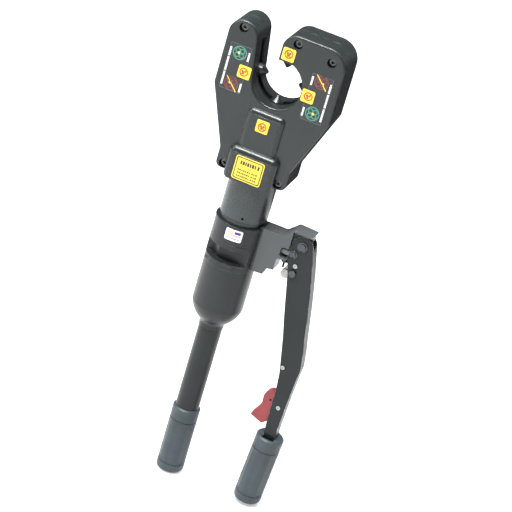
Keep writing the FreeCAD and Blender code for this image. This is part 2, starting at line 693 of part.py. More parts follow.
def cam_yoke():
    yoke = prism(both_halves(yoke_points(0, 0)), -YOKE_HALF, YOKE_HALF)
    yoke = yoke.cut(cam_slot()).cut(mirrored_x(cam_slot()))
    return yoke.cut(rod(4 + SNUG, 480, 510))


# ---- labels ----
def label_plate(x, z, width, height, face_y, corner):
    half_w, half_h = width / 2 - corner, height / 2 - corner
    corners = [(x + sx * half_w, z + sz * half_h, angle) for sx, sz, angle in
               ((1, 1, 90), (-1, 1, 180), (-1, -1, 270), (1, -1, 360))]
    points = []
    for cx, cz, angle in corners:
        points.append(on_circle((cx, cz), corner, angle - 90))
        points.append(arc_to((cx, cz), corner, angle - 90, angle))
    return prism(points, face_y - 0.2, face_y)


def position_labels():
    """Four square pictograms, one beside each indentor."""
    size, corner = 16.5, 2.0
    on_head = -HEAD_HALF - 0.25
    return [
        label_plate(4.3, 624.3, size, size, on_head, corner),
        label_plate(-43.3, 582, size, size, on_head, corner),
        label_plate(42.0, 582.8, size, size, on_head, corner),
        label_plate(-0.8, 525.4, size, size, -HIGH_PAD[3] - SNUG, corner),
    ]


def arm_labels():
    return [label_plate(x, 583.5, 28.0, 61.5, -HEAD_HALF - SNUG, 1.5) for x in (-55.4, 53.6)]


def caution_label():
    return label_plate(-1.0, 466.0, 38.5, 32.0, -LOW_PAD[3] - SNUG, 3.0)


def collar_label():
    shell = ring(COLLAR_R + SNUG, COLLAR_R + 0.22, 366, 382.5)
    return shell.common(block(-9, 15.5, -40, 0, 366, 382.5))


# ---- pump handle ----
def flange_left():
    return [(76.4, 351.4), (90.3, 285.2), (97.4, 254.3), (107.2, 204.1), (109.0, 182.6), (110.0, 138.7),
            (111.1, 111)]


def flange_right():
    return [(102.6, 382), (110.8, 347), (118.9, 305), (126.2, 260), (129.8, 241), (132.5, 220),
            (130.8, 199), (129.0, 171), (127.4, 128), (126.9, 111)]


def inside_grip(point, depth):
    """A point of the channel carried on down inside the leaning grip."""
    lean = radians(SWING_GRIP_LEAN)
    return (point[0] - depth * sin(lean), point[1] - depth * cos(lean))


def channel_face(wall):
    """Side view of the channel; wall moves the right edge inwards and opens the left."""
    left, right = flange_left(), flange_right()
    depth = 70.0
    left.append(inside_grip(left[-1], depth))
    right.append(inside_grip(right[-1], depth))
    if wall:
        left = [(x - 20, z) for x, z in left]
        left[-1] = (left[-1][0], left[-1][1] - 5)
        right = [(x - wall, z) for x, z in right]
        right[-1] = (right[-1][0], right[-1][1] - 5)
    pivot = (PIVOT_X, PIVOT_Z)
    start = on_circle(pivot, FLANGE_TOP_R + (20 if wall else 0), 180)
    if wall:
        return outline([start, (start[0], 420), (right[0][0], 420)] + right + left[::-1])
    return outline([start, arc_to(pivot, FLANGE_TOP_R, 180, 5)] + right + left[::-1] + [
        ((73.3, 357.3), (72.5, 366))])


def handle_channel():
    outer, inner = CHANNEL_HALF, CHANNEL_HALF - CHANNEL_WALL
    body = plate(channel_face(0), -outer, outer)
    body = body.cut(plate(channel_face(CHANNEL_WALL), -inner, inner))
    body = body.cut(block(60, 130, -inner, inner, WEB_TOP, 420))
    for x, z, radius in handle_holes():
        body = body.cut(cross_rod(radius + SNUG, x, z, -20, 20))
    return body.removeSplitter()


def handle_holes():
    rivets = [(x, z, RIVET_R) for x, z in RIVET_POINTS]
    return rivets + [(PIVOT_X, PIVOT_Z, PIVOT_R), (LINK_X, LINK_Z, LINK_R), (LEVER_X, LEVER_Z, BOLT_R)]


def headed_pin(x, z, radius, head_r, head):
    """Pin across both flanges with a round head in front and behind."""
    outer = CHANNEL_HALF + GAP
    return fused(cross_rod(radius, x, z, -outer - 0.5, outer + 0.5),
                 cross_rod(head_r, x, z, -outer - head, -outer), cross_rod(head_r, x, z, outer, outer + head))


def clip_pin(x, z, radius):
    """Pin with a head behind and a groove for a retaining clip in front."""
    outer = CHANNEL_HALF + GAP
    shank = cross_rod(radius, x, z, -outer - 2.6, outer + 0.5)
    pin = fused(shank, cross_rod(radius + 2, x, z, outer, outer + 2))
    groove = cross_rod(radius + 1, x, z, -outer - 1.3, -outer - 0.2).cut(
        cross_rod(radius - 1, x, z, -outer - 2, -outer))
    return pin.cut(groove)


def pivot_pin():
    return clip_pin(PIVOT_X, PIVOT_Z, PIVOT_R)


def link_pin():
    return clip_pin(LINK_X, LINK_Z, LINK_R)


def pin_clips():
    """E-shaped spring clips in the grooves of the two pins."""
    clips = []
    outer = CHANNEL_HALF + GAP
    for x, z, radius in ((PIVOT_X, PIVOT_Z, PIVOT_R), (LINK_X, LINK_Z, LINK_R)):
        clip = cross_rod(radius + 2.2, x, z, -outer - 1.2, -outer - 0.3)
        clip = clip.cut(cross_rod(radius - 1 + SNUG, x, z, -outer - 2, -outer))
        clip = clip.cut(block(x - 1.8, x + 1.8, -outer - 2, -outer, z - radius - 4, z))
        clips.append(clip)
    return clips


def pivot_washers():
    """Plastic washers that centre the ear between the flanges."""
    inner, outer = EAR_HALF + GAP, CHANNEL_HALF - CHANNEL_WALL - GAP
    washers = []
    for side in (-1, 1):
        low, high = sorted((side * inner, side * outer))
        washers.append(cross_rod(7, PIVOT_X, PIVOT_Z, low, high).cut(
            cross_rod(PIVOT_R + GAP, PIVOT_X, PIVOT_Z, low - 1, high + 1)))
    return washers


def channel_rivets():
    """Dome-headed rivets with a small dimple in each head."""
    rivets = []
    outer = CHANNEL_HALF + GAP
    for x, z in RIVET_POINTS:
        rivet = headed_pin(x, z, RIVET_R, RIVET_HEAD_R, 1.2)
        rivet = rivet.cut(cross_rod(0.9, x, z, -outer - 2, -outer - 0.6))
        rivets.append(rivet)
    return rivets


def lever_bolt():
    outer = CHANNEL_HALF + GAP
    hexagon = [on_circle((LEVER_X, LEVER_Z), 5.0, 60 * i + 15) for i in range(6)]
    return fused(cross_rod(BOLT_R, LEVER_X, LEVER_Z, -outer - 1, outer + 4.5),
                 prism(hexagon, -outer - 3, -outer))


def lever_bolt_nut():
    outer = CHANNEL_HALF + GAP
    hexagon = [on_circle((LEVER_X, LEVER_Z), 5.0, 60 * i) for i in range(6)]
    return prism(hexagon, outer, outer + 3.2).cut(cross_rod(BOLT_R + SNUG, LEVER_X, LEVER_Z, 0, 30))


def release_lever():
    """Polished lever: its round nose lifts the release valve's stem."""
    nose, nose_r, nose_half = (74.5, 337.7), 6.2, 4.0
    tail = (LEVER_X + TAIL_REACH, LEVER_Z)
    tail_r = 3.2
    arm = prism([(nose[0] - 5.3, nose[1] + 3.4), (nose[0] - 0.9, nose[1] + 11.4), (LEVER_X - 2, LEVER_Z + 6),
                 (tail[0], LEVER_Z + tail_r), (tail[0], LEVER_Z - tail_r), (LEVER_X, LEVER_Z - 6),
                 (nose[0] + 2, nose[1] - 5.8)], -LEVER_HALF, LEVER_HALF)
    hub_half = CHANNEL_HALF - CHANNEL_WALL - 0.3
    body = fused(cross_rod(nose_r, nose[0], nose[1], -nose_half, nose_half), arm,
                 cross_rod(tail_r, tail[0], tail[1], -LEVER_HALF, LEVER_HALF),
                 cross_rod(6, LEVER_X, LEVER_Z, -hub_half, hub_half))
    body = body.cut(cross_rod(BOLT_R + GAP, LEVER_X, LEVER_Z, -20, 20))
    return body.cut(cross_rod(ROD_WIRE_R + 0.3, tail[0], tail[1], -20, 20))


def release_rod():
    """Bent wire between trigger and lever, hooked through both."""
    path = [(TRIGGER_X - HOOK_REACH, TRIGGER_Z - HOOK_DROP), (118.0, 186.0), (118.0, 232.0),
            (LEVER_X + TAIL_REACH, LEVER_Z)]
    parts = []
    for (x0, z0), (x1, z1) in zip(path, path[1:]):
        run = Vec(x1 - x0, 0, z1 - z0)
        parts.append(Part.makeCylinder(ROD_WIRE_R, run.Length, Vec(x0, ROD_WIRE_Y, z0), run))
    for x, z in path:
        parts.append(Part.makeSphere(ROD_WIRE_R, Vec(x, ROD_WIRE_Y, z)))
    for x, z in (path[0], path[-1]):
        parts.append(cross_rod(ROD_WIRE_R, x, z, -3.6, ROD_WIRE_Y))
    return fused(*parts)


def trigger():
    finger_half, hub_from = 5.0, 109.5
    body = prism([
        (103.1, 175.9), (99.6, 173.4), ((96.6, 168.6), (95.7, 162.1)), (96.1, 154.5),
        ((94.0, 147.8), (88.9, 139.5)), ((87.2, 135.8), (86.1, 131.4)), (102.8, 125.1), (109.6, 130.8),
        (116.5, 148.5), (124.0, 154.5), ((125.2, 159.5), (121, 163)), (112.5, 168.5),
        ((108.8, 175.0), (103.1, 175.9)),
    ], -finger_half, finger_half)
    for side in (-1, 1):
        low, high = sorted((side * LEVER_HALF, side * 9))
        body = body.cut(block(hub_from, 130, low, high, 120, 180))
    body = body.cut(cross_rod(RIVET_R + GAP, TRIGGER_X, TRIGGER_Z, -20, 20))
    hook = (TRIGGER_X - HOOK_REACH, TRIGGER_Z - HOOK_DROP)
    slot_r = ROD_WIRE_R + 0.3
    slot = fused(block(hook[0] - 0.6, hook[0] + 1.3, -20, 20, hook[1] - slot_r, hook[1] + slot_r),
                 cross_rod(slot_r, hook[0] - 0.6, hook[1], -20, 20),
                 cross_rod(slot_r, hook[0] + 1.3, hook[1], -20, 20))
    return body.cut(slot).cut(cross_rod(1.5, 106, 162, -20, 20))


def trigger_spring():
    """Return spring round the trigger's pin, beside its hub."""
    wall = CHANNEL_HALF - CHANNEL_WALL
    return along_y(coil(3.0, 0.4, LEVER_HALF + 0.2, wall - 0.2, 3), TRIGGER_X, TRIGGER_Z)


def swing_grip():
    """Grip of the pump handle, leaning with the channel that it is pushed onto."""
    x, z = SWING_GRIP_TOP
    body = grip_body(SWING_GRIP_R, SWING_GRIP_LENGTH)
    body.translate(Vec(x, 0, z - SWING_GRIP_LENGTH))
    body.rotate(Vec(x, 0, z), Y, SWING_GRIP_LEAN)
    play = 0.25
    left, right = flange_left()[-1], flange_right()[-1]

    def pocket(half, low):
        top = [inside_grip((left[0] - play, left[1]), -6), inside_grip((right[0] + play, right[1]), -6)]
        foot = [inside_grip((right[0] + play, right[1]), low), inside_grip((left[0] - play, left[1]), low)]
        return prism(top + foot, -half, half)

    return body.cut(pocket(CHANNEL_HALF + play, 71)).cut(pocket(GRIP_POCKET_HALF, 12))


def pump_plunger():
    """Pump plunger with an upright eye that the link pin pushes."""
    eye_half = LINK_R + 0.3
    low = LINK_Z - 2.3
    head = block(73.2, 85.2, -PLUNGER_HEAD_HALF, PLUNGER_HEAD_HALF, 359.5, 374.7)
    slot = block(LINK_X - eye_half, LINK_X + eye_half, -10, 10, low, LINK_Z)
    for z in (low, LINK_Z):
        slot = fused(slot, cross_rod(eye_half, LINK_X, z, -10, 10))
    return fused(side_rod(PLUNGER_R, 38, 76, PLUNGER_Z), head).cut(slot)


NODES = {
    "rear_grip": rear_grip, "handle_tube": handle_tube, "tube_end_plug": tube_end_plug,
    "reservoir_barrel": reservoir_barrel, "reservoir_bladder": reservoir_bladder,
    "bladder_clamp": bladder_clamp, "fill_plug": fill_plug, "pump_body": pump_body,
    "plunger_seal": plunger_seal, "valve_balls": valve_balls, "valve_springs": valve_springs,
    "valve_plugs": valve_plugs, "release_valve_nipple": release_valve_nipple,
    "release_valve_stem": release_valve_stem, "swivel_wire": swivel_wire, "swivel_seal": swivel_seal,
    "neck_cylinder": neck_cylinder, "ram_piston": ram_piston, "piston_seal": piston_seal,
    "rod_gland": rod_gland, "ram_return_spring": ram_return_spring, "front_cover": front_cover,
    "rear_cover": rear_cover, "cover_screws": cover_screws, "c_frame": c_frame,
    "cam_yoke": cam_yoke, "indentor_bottom": indentor_bottom, "indentor_top": indentor_top,
    "indentor_left": indentor_left, "indentor_right": indentor_right, "cam_pin_left": cam_pin_left,
    "cam_pin_right": cam_pin_right, "position_labels": position_labels, "arm_labels": arm_labels,
    "caution_label": caution_label, "collar_label": collar_label, "handle_channel": handle_channel,
    "pivot_pin": pivot_pin, "link_pin": link_pin, "pin_clips": pin_clips,
    "pivot_washers": pivot_washers, "channel_rivets": channel_rivets, "lever_bolt": lever_bolt,
    "lever_bolt_nut": lever_bolt_nut, "release_lever": release_lever, "release_rod": release_rod,
    "trigger": trigger, "trigger_spring": trigger_spring, "swing_grip": swing_grip,
    "pump_plunger": pump_plunger,
}

os.makedirs("parts", exist_ok=True)
for name, build in NODES.items():
    made = build()
    solids = [s for piece in (made if isinstance(made, list) else [made]) for s in piece.Solids]
    shape = solids[0] if len(solids) == 1 else Part.makeCompound(solids)
    shape.translate(Vec(0, 0, -GRIP_FOOT))
    print(name, len(solids), "valid" if shape.isValid() else "INVALID", round(shape.Volume))
    shape.exportStep(f"parts/{name}.step")
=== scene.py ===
import bmesh
import bpy
import json
from math import cos, pi, radians, sin
from mathutils import Matrix, Vector


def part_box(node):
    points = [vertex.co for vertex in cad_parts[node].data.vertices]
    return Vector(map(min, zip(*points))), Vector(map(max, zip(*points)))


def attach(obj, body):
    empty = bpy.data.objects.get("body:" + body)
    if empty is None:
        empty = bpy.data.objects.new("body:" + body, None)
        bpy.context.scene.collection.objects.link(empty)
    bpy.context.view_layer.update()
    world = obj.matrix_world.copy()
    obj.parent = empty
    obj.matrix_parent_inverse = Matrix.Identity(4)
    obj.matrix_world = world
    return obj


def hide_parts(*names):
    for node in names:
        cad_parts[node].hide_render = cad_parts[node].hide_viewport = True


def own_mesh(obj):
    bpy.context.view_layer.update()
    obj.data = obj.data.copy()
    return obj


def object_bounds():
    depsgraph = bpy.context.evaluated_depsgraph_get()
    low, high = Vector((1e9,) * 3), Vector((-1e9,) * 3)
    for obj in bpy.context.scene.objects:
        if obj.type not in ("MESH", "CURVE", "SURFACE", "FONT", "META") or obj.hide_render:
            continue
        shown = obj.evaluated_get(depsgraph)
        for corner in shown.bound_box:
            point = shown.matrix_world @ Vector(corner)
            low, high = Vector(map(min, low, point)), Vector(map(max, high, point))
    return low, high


# Looks for the hydraulic crimping tool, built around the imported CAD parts. Metres.
# The label side faces -Y, the pump lever hangs on +X and the head is at the top.

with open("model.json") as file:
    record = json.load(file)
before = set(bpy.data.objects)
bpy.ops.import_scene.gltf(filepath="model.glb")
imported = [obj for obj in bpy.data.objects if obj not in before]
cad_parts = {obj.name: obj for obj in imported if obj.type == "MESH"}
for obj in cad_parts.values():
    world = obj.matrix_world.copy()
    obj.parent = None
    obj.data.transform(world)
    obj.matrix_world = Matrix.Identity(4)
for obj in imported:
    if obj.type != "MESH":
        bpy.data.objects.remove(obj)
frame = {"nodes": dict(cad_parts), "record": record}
cad_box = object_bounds()
nodes = frame["nodes"]
MM = 0.001

# ---- camera and stage ----
CAMERA_TARGET = Vector((0.0311, 0.0, 0.3384))
CAMERA_AZIMUTH, CAMERA_ELEVATION, CAMERA_ROLL = 12.81, 24.91, 16.73
CAMERA_DISTANCE, CAMERA_LENS, CAMERA_SENSOR = 2.906, 160.2, 36.0
FLOOR_SIZE = 40.0
FLOOR_DROP = 0.5 * MM       # gap under the grip, so that the two faces don't share a plane
FLOOR_GLOW = 0.45           # light given off by the floor near the tool
GLOW_REACH = (2.5, 7.0)     # distances over which the floor's glow rises to that of the world
CARD_GAP = 0.25             # from the back of the head to the black card
WORLD_LIGHT, WORLD_SEEN = 0.3, 1.0

# ---- finishes ----
PAINTED_LIGHT_BLOCK_START = 33.5 * MM     # the pump block's painted lighter colour, standing in for light on its front-facing flat faces, begins here, in x
EDGE_WEAR_AND_HIGHLIGHT_WIDTH = 0.7 * MM       # width of the light line along an edge, part wear and part painted highlight
PAINTED_SHADE_REACH = 9 * MM        # hollows narrower than this get painted shade
CORNER_SOFTNESS = 0.5 * MM  # shading radius of edges that the CAD model leaves sharp
FINE_GRAIN = 0.04 * MM      # depth of the grain in a finish
# the second scale sets the patches along the edge lines, which are part wear and part painted highlight
BLOTCH_SCALE, WEAR_AND_HIGHLIGHT_SCALE = 18.0, 90.0
ROUGH_SPREAD = 0.12         # how far the grain varies a finish's roughness

# ---- printed labels ----
INK = 0.05 * MM             # height of one printed layer
PRINT_BED = 0.2 * INK       # how deep a printed shape sits in its plate
LABEL_PLATE = 0.2 * MM      # thickness of the label plates in the CAD model
BEND_PITCH = 1.6 * MM       # width of the strips that a wrapped label bends in
HEAD_BODY, PUMP_BODY = "swivel_head", "pump_and_handle"


# ---- node helpers ----
def new_material(name):
    material = bpy.data.materials.new(name)
    material.use_nodes = True
    return material, material.node_tree.nodes, material.node_tree.links


def add(tree_nodes, kind, **settings):
    node = tree_nodes.new(kind)
    for key, value in settings.items():
        if key in node.inputs:
            node.inputs[key].default_value = value
        else:
            setattr(node, key, value)
    return node


def noise(tree_nodes, links, coords, scale, detail=3.0, roughness=0.55):
    node = add(tree_nodes, "ShaderNodeTexNoise", Scale=scale, Detail=detail, Roughness=roughness)
    links.new(coords, node.inputs["Vector"])
    return node.outputs["Fac"]


def ramp(tree_nodes, links, value, low, high, low_out=0.0, high_out=1.0):
    node = add(tree_nodes, "ShaderNodeMapRange", clamp=True)
    node.inputs["From Min"].default_value = low
    node.inputs["From Max"].default_value = high
    node.inputs["To Min"].default_value = low_out
    node.inputs["To Max"].default_value = high_out
    links.new(value, node.inputs["Value"])
    return node.outputs["Result"]


def mix_colour(tree_nodes, links, factor, a, b):
    node = add(tree_nodes, "ShaderNodeMix", data_type="RGBA")
    links.new(factor, node.inputs["Factor"])
    for value, socket in ((a, node.inputs["A"]), (b, node.inputs["B"])):
        if isinstance(value, tuple):
            socket.default_value = (*value, 1.0)
        else:
            links.new(value, socket)
    return node.outputs["Result"]


def maths(tree_nodes, links, operation, a, b):
    node = add(tree_nodes, "ShaderNodeMath", operation=operation)
    for value, socket in ((a, node.inputs[0]), (b, node.inputs[1])):
        if isinstance(value, (int, float)):
            socket.default_value = value
        else:
            links.new(value, socket)
    return node.outputs[0]


def edge_mask(tree_nodes, links, radius, low, high):
    """1 on sharp edges, fading over radius, from the rounded-corner normal."""
    bevel = add(tree_nodes, "ShaderNodeBevel", samples=4, Radius=radius)
    geometry = add(tree_nodes, "ShaderNodeNewGeometry")
    dot = add(tree_nodes, "ShaderNodeVectorMath", operation="DOT_PRODUCT")
    links.new(bevel.outputs["Normal"], dot.inputs[0])
    links.new(geometry.outputs["Normal"], dot.inputs[1])
    return ramp(tree_nodes, links, dot.outputs["Value"], high, low)


def surface(name, colour, rough, metallic=0.0, dark=0.8, light=1.15, grain=2500.0,
            grain_depth=FINE_GRAIN, wear_and_highlight=None, wear_and_highlight_amount=0.5, stretch=(1, 1, 1),
            specular=0.5, round_edges=CORNER_SOFTNESS, painted_shade=0.0, painted_light_beyond_x=None):
    """A finish with slow colour change, fine grain in roughness and bump, and edge lines that are part wear
    and part painted highlight.

    Painted shade darkens hollows by the given amount; the x split is (x, colour), a painted lighter stretch
    past that x, standing in for light on flat faces.
    """
    material, tree_nodes, links = new_material(name)
    bsdf = tree_nodes["Principled BSDF"]
    coords = add(tree_nodes, "ShaderNodeTexCoord").outputs["Object"]
    mapping = add(tree_nodes, "ShaderNodeMapping")
    mapping.inputs["Scale"].default_value = stretch
    links.new(coords, mapping.inputs["Vector"])
    slow = noise(tree_nodes, links, coords, BLOTCH_SCALE)
    fine = noise(tree_nodes, links, mapping.outputs["Vector"], grain, 2.0)
    darker = tuple(c * dark for c in colour)
    lighter = tuple(min(1.0, c * light) for c in colour)
    shade = mix_colour(tree_nodes, links, ramp(tree_nodes, links, slow, 0.3, 0.7), darker, lighter)
    # painted light: past the given x the colour turns lighter, standing in for light on the pump block's flat
    # faces
    if painted_light_beyond_x:
        split = add(tree_nodes, "ShaderNodeSeparateXYZ")
        links.new(coords, split.inputs["Vector"])
        past = ramp(tree_nodes, links, split.outputs["X"], painted_light_beyond_x[0] - 0.5 * MM, painted_light_beyond_x[0] + 0.5 * MM)
        shade = mix_colour(tree_nodes, links, past, shade, painted_light_beyond_x[1])
    if painted_shade:
        # painted shade: ambient occlusion darkens hollows towards near black
        hollow = add(tree_nodes, "ShaderNodeAmbientOcclusion", samples=8, Distance=PAINTED_SHADE_REACH)
        amount = ramp(tree_nodes, links, hollow.outputs["AO"], 0.25, 0.8, painted_shade, 0.0)
        shade = mix_colour(tree_nodes, links, amount, shade, (0.004, 0.004, 0.004))
    roughness = maths(tree_nodes, links, "ADD", rough - ROUGH_SPREAD / 2,
                      maths(tree_nodes, links, "MULTIPLY", fine, ROUGH_SPREAD))
    # edge lines: worn edges, and on some finishes a painted highlight where a lamp would catch the edge
    if wear_and_highlight:
        mask = edge_mask(tree_nodes, links, EDGE_WEAR_AND_HIGHLIGHT_WIDTH, 0.86, 0.985)
        patch = ramp(tree_nodes, links, noise(tree_nodes, links, coords, WEAR_AND_HIGHLIGHT_SCALE), 0.42, 0.62)
        mask = maths(tree_nodes, links, "MULTIPLY", mask, patch)
        mask = maths(tree_nodes, links, "MULTIPLY", mask, wear_and_highlight_amount)
        shade = mix_colour(tree_nodes, links, mask, shade, wear_and_highlight)
    links.new(shade, bsdf.inputs["Base Color"])
    links.new(roughness, bsdf.inputs["Roughness"])
    bump = add(tree_nodes, "ShaderNodeBump", Strength=1.0, Distance=grain_depth)
    links.new(fine, bump.inputs["Height"])
    if round_edges:
        bevel = add(tree_nodes, "ShaderNodeBevel", samples=4, Radius=round_edges)
        links.new(bevel.outputs["Normal"], bump.inputs["Normal"])
    links.new(bump.outputs["Normal"], bsdf.inputs["Normal"])
    bsdf.inputs["Metallic"].default_value = metallic
    bsdf.inputs["Specular IOR Level"].default_value = specular
    return material


# ---- the tool's finishes ----
def make_materials():
    # each finish's darkening of hollows below is painted shade, not dirt
    return {
        # cover_plastic: its lighter edge colour is part wear and part painted highlight; its hollows get
        # painted shade
        "cover_plastic": surface("cover_plastic", (0.0125, 0.0165, 0.0168), 0.27, grain=3200.0, specular=0.42,
                                 grain_depth=0.06 * MM, wear_and_highlight=(0.25, 0.26, 0.26), wear_and_highlight_amount=0.4, painted_shade=0.9),
        "neck_metal": surface("neck_metal", (0.03, 0.037, 0.039), 0.28, metallic=0.3, grain=1800.0),
        # body_metal: past the x split the pump block is painted lighter, as painted light on its flat faces
        "body_metal": surface("body_metal", (0.0145, 0.0172, 0.0176), 0.34, metallic=0.1, grain=1500.0,
                              specular=0.3, wear_and_highlight=(0.25, 0.25, 0.24), painted_shade=0.2,
                              painted_light_beyond_x=(PAINTED_LIGHT_BLOCK_START, (0.058, 0.064, 0.0665))),
        "dark_tube": surface("dark_tube", (0.01, 0.0125, 0.013), 0.34, metallic=0.1, grain=1200.0,
                             specular=0.28),
        "grip_vinyl": surface("grip_vinyl", (0.029, 0.042, 0.05), 0.48, grain=1600.0, grain_depth=0.09 * MM,
                              light=1.25, painted_shade=0.6, specular=0.4),
        # channel_steel: its bright edge colour is a painted highlight along the flange's rim; its hollows get
        # painted shade
        "channel_steel": surface("channel_steel", (0.009, 0.0122, 0.0125), 0.36, metallic=0.1, specular=0.28,
                                 wear_and_highlight=(0.7, 0.7, 0.7), wear_and_highlight_amount=1.0, painted_shade=0.4),
        "zinc": surface("zinc", (0.3, 0.3, 0.29), 0.3, metallic=0.9, wear_and_highlight=(0.6, 0.6, 0.58), painted_shade=0.9),
        "dark_steel": surface("dark_steel", (0.06, 0.065, 0.07), 0.32, metallic=0.8, wear_and_highlight=(0.4, 0.4, 0.4),
                              painted_shade=0.6),
        "black_steel": surface("black_steel", (0.006, 0.007, 0.007), 0.4, metallic=0.3, painted_shade=0.6),
        "polished_steel": surface("polished_steel", (0.3, 0.3, 0.29), 0.4, metallic=0.6,
                                  stretch=(1, 1, 12), painted_shade=0.9),
        # plunger: its pale non-metal colour is painted light that lifts the shade falling on it between block
        # and handle
        "plunger_steel": surface("plunger_steel", (0.7, 0.72, 0.75), 0.6, metallic=0.0, grain=1800.0),
        # screw_steel: the near-white edge colour is a painted glint round the screw heads; its hollows get
        # painted shade
        "screw_steel": surface("screw_steel", (0.12, 0.125, 0.125), 0.24, metallic=0.6, wear_and_highlight=(0.9, 0.9, 0.9),
                               wear_and_highlight_amount=1.0, painted_shade=0.75),
        "red_plastic": surface("red_plastic", (0.2, 0.018, 0.021), 0.4, grain=900.0, light=1.1, painted_shade=0.5),
        "seal_rubber": surface("seal_rubber", (0.012, 0.012, 0.013), 0.7),
        "yellow_label": surface("yellow_label", (0.75, 0.54, 0.042), 0.35, dark=0.95, light=1.03),
        "grey_label": surface("grey_label", (0.014, 0.016, 0.017), 0.34),
        "white_label": surface("white_label", (0.8, 0.8, 0.81), 0.35, dark=0.97, light=1.0),
        "nylon": surface("nylon", (0.7, 0.69, 0.65), 0.5),
    }


def make_inks():
    colours = {
        "dark_ink": (0.012, 0.011, 0.006), "orange_ink": (0.52, 0.045, 0.004), "red_ink": (0.6, 0.02, 0.02),
        "green_ink": (0.05, 0.26, 0.19), "leaf_ink": (0.05, 0.12, 0.02), "wine_ink": (0.17, 0.03, 0.035),
        "gold_ink": (0.85, 0.6, 0.03), "white_ink": (0.75, 0.76, 0.76), "olive_ink": (0.07, 0.05, 0.006),
        "pink_ink": (0.62, 0.36, 0.32), "blue_ink": (0.02, 0.02, 0.22), "line_ink": (0.1, 0.11, 0.115),
        "paper": (0.8, 0.8, 0.81),
    }
    return {name: surface(name, colour, 0.36, dark=0.9, light=1.08, grain_depth=0.01 * MM, round_edges=0.0)
            for name, colour in colours.items()}


def dress_cad_nodes(materials):
    slots = {part["node"]: part["material_slot"] for part in frame["record"]["subparts"]}
    special = {"cover_screws": "screw_steel", "pump_plunger": "plunger_steel",
               "release_valve_stem": "black_steel"}
    for name, obj in nodes.items():
        obj.data.materials.clear()
        obj.data.materials.append(materials[special.get(name, slots[name])])


def shorten_return_spring():
    """Gives the spring over the piston a mesh of its own; nothing here shortens it."""
    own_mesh(nodes["ram_return_spring"])


# ---- flat printed shapes, as thin solids facing -Y ----
def solid_boxes(obj):
    """Lowest and highest corners of each separate solid in a CAD node's mesh."""
    leader = {}

    def find(key):
        while leader[key] != key:
            key = leader[key]
        return key

    places = {}
    for polygon in obj.data.polygons:
        keys = []
        for index in polygon.vertices:
            place = obj.matrix_world @ obj.data.vertices[index].co
            key = tuple(round(c / (0.01 * MM)) for c in place)
            places[key] = place
            leader.setdefault(key, key)
            keys.append(key)
        for key in keys[1:]:
            leader[find(key)] = find(keys[0])
    groups = {}
    for key, place in places.items():
        groups.setdefault(find(key), []).append(place)
    boxes = []
    for group in groups.values():
        low = Vector([min(p[i] for p in group) for i in range(3)])
        high = Vector([max(p[i] for p in group) for i in range(3)])
        boxes.append((low, high))
    return boxes


def circle(centre, radius, count=28):
    return [(centre[0] + radius * cos(2 * pi * i / count), centre[1] + radius * sin(2 * pi * i / count))
            for i in range(count)]


def bar(start, end, width):
    """Straight stroke between two points."""
    along = (Vector(end) - Vector(start)).normalized() * (width / 2)
    across = Vector((-along.y, along.x))
    return [tuple(Vector(p) + side * across) for p, side in ((start, -1), (end, -1), (end, 1), (start, 1))]


def soft_box(centre, width, height, corner, steps=4):
    """Rectangle with round corners."""
    points = []
    for sx, sz, start in ((1, 1, 0), (-1, 1, 90), (-1, -1, 180), (1, -1, 270)):
        cx = centre[0] + sx * (width / 2 - corner)
        cz = centre[1] + sz * (height / 2 - corner)
        for i in range(steps + 1):
            angle = radians(start + 90 * i / steps)
            points.append((cx + corner * cos(angle), cz + corner * sin(angle)))
    return points


def round_collar(radius):
    """Bends a flat layout round the tool's axis, its depth counted inward from the collar's face."""
    def wrap(flat):
        angle = flat.x / radius
        reach = radius - flat.y
        return Vector((reach * sin(angle), -reach * cos(angle), flat.z))
    return wrap


def add_shape(mesh, outer, inner, back, front):
    """Solid between two depths from an outline, with a matching inner outline if it's a ring."""
    loops = []
    for points in (outer, inner) if inner else (outer,):
        loops.append([[mesh.verts.new((x, depth, z)) for x, z in points] for depth in (back, front)])
    count = len(outer)
    for rear, face in loops:
        for i in range(count):
            j = (i + 1) % count
            mesh.faces.new((rear[i], rear[j], face[j], face[i]))
    for level in (0, 1):
        if not inner:
            mesh.faces.new(loops[0][level])
            continue
        rim, hole = loops[0][level], loops[1][level]
        for i in range(count):
            j = (i + 1) % count
            mesh.faces.new((rim[i], rim[j], hole[j], hole[i]))


def cut_upright(mesh, pitch):
    """Cuts a flat mesh along upright planes so that it can bend."""
    places = [vertex.co.x for vertex in mesh.verts]
    x, end = min(places) + pitch, max(places)
    while x < end:
        everything = mesh.verts[:] + mesh.edges[:] + mesh.faces[:]
        bmesh.ops.bisect_plane(mesh, geom=everything, plane_co=(x, 0, 0), plane_no=(1, 0, 0))
        x += pitch


def printed(name, shapes, back, layers, material, body, wrap=None):
    """One printed colour: shapes is a list of (outline, inner outline or None)."""
    mesh = bmesh.new()
    for outer, inner in shapes:
        add_shape(mesh, outer, inner, back, back - layers * INK)
    if wrap:
        cut_upright(mesh, BEND_PITCH)
        for vertex in mesh.verts:
            vertex.co = wrap(vertex.co)
    bmesh.ops.recalc_face_normals(mesh, faces=mesh.faces)
    data = bpy.data.meshes.new(name)
    mesh.to_mesh(data)
    mesh.free()
    data.materials.append(material)
    obj = bpy.data.objects.new(name, data)
    bpy.context.scene.collection.objects.link(obj)
    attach(obj, body)
    return obj


def ring_shape(centre, outer, inner):
    return circle(centre, outer), circle(centre, inner)


